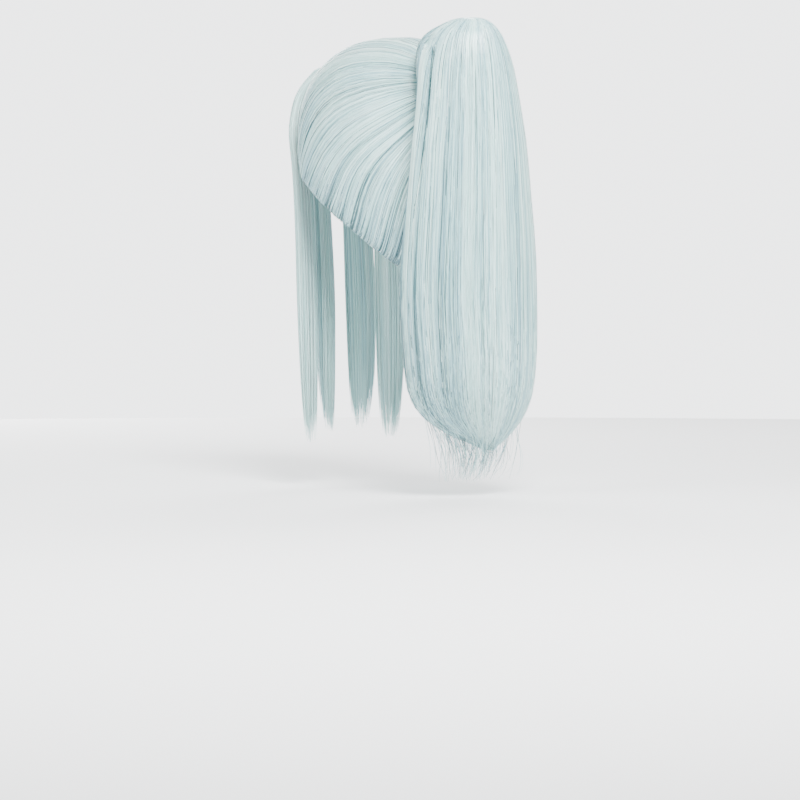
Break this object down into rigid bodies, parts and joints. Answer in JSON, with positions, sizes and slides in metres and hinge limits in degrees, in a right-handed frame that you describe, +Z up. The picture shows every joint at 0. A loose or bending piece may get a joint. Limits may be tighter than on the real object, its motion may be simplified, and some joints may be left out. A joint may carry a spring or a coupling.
{
  "type": "costume wig",
  "caption": "Long pale costume wig: stretch cap with swept-back hair, face-framing locks each side and a clip-on ponytail on a claw clip.",
  "frame": {"origin": "middle of the wearer's head at brow height, inside the cap (the head_seat mount)", "axes": "+Z up, -Y the way the wearer faces, +X the wearer's left"},
  "size_m": [0.1734, 0.3022, 0.464],
  "materials": {
    "fibre": "silky synthetic hair",
    "net": "open net",
    "ribbon": "woven ribbon",
    "elastic": "ribbed elastic",
    "hook_plastic": "moulded",
    "claw_plastic": "moulded",
    "steel": "drawn wire"
  },
  "bodies": {
    "cap": {"cap_net": "net", "forehead_band": "ribbon", "nape_band": "elastic", "ear_tab_left": "ribbon", "ear_tab_right": "ribbon", "ear_stay_left": "hook_plastic", "ear_stay_right": "hook_plastic", "crown_tape_centre": "ribbon", "crown_tape_left": "ribbon", "crown_tape_right": "ribbon", "crown_tape_nape_left": "ribbon", "crown_tape_nape_right": "ribbon", "top_hair": "fibre", "side_hair_left": "fibre", "nape_hair": "fibre", "side_hair_right": "fibre", "tail_stub": "fibre", "tail_elastic": "elastic"},
    "clip": {"claw_pin": "steel", "claw_spring": "steel", "ponytail_pad": "net", "weft_inner": "ribbon", "weft_outer": "ribbon", "ponytail_crown": "fibre"},
    "claw_left": {"claw_jaw_left": "claw_plastic"},
    "claw_right": {"claw_jaw_right": "claw_plastic"},
    "fall": {"ponytail_inner_fall": "fibre", "ponytail_outer_fall": "fibre"},
    "locks_left": {"forelock_outer_left": "fibre", "forelock_inner_left": "fibre"},
    "locks_right": {"forelock_outer_right": "fibre", "forelock_inner_right": "fibre"},
    "adjuster_left": {"adjuster_strap_left": "elastic", "adjuster_hook_left": "hook_plastic"},
    "adjuster_right": {"adjuster_strap_right": "elastic", "adjuster_hook_right": "hook_plastic"}
  },
  "joints": [
    {"name": "ponytail_unclip", "type": "slide", "parent": "cap", "child": "clip", "axis": [0, 0.7912, 0.6116], "range_m": [0, 0.12]},
    {"name": "claw_left_open", "type": "hinge", "parent": "clip", "child": "claw_left", "pos_m": [0, 0.11251, 0.09778], "axis": [0, -0.6116, 0.7912], "range_deg": [0, 25], "stiffness_Nm_per_rad": 0.3, "springref_deg": -20.05},
    {"name": "claw_right_open", "type": "hinge", "parent": "clip", "child": "claw_right", "pos_m": [0, 0.11251, 0.09778], "axis": [0, -0.6116, 0.7912], "range_deg": [-25, 0]},
    {"name": "ponytail_swing", "type": "hinge", "parent": "clip", "child": "fall", "pos_m": [0, 0.131, 0.062], "axis": [1, 0, 0], "range_deg": [0, 35]},
    {"name": "locks_left_swing", "type": "hinge", "parent": "cap", "child": "locks_left", "pos_m": [0.019, -0.095, 0.067], "axis": [-1, 0, 0], "range_deg": [0, 60], "stiffness_Nm_per_rad": 0.06, "springref_deg": -8.59},
    {"name": "locks_right_swing", "type": "hinge", "parent": "cap", "child": "locks_right", "pos_m": [-0.019, -0.095, 0.067], "axis": [-1, 0, 0], "range_deg": [0, 60], "stiffness_Nm_per_rad": 0.06, "springref_deg": -8.59},
    {"name": "strap_left_adjust", "type": "slide", "parent": "cap", "child": "adjuster_left", "axis": [-0.931, 0.2809, -0.233], "range_m": [0, 0.012]},
    {"name": "strap_right_adjust", "type": "slide", "parent": "cap", "child": "adjuster_right", "axis": [0.931, 0.2809, -0.233], "range_m": [0, 0.012]}
  ],
  "couplings": [
    {"joint": "claw_right_open", "follows": "claw_left_open", "ratio": -1}
  ]
}
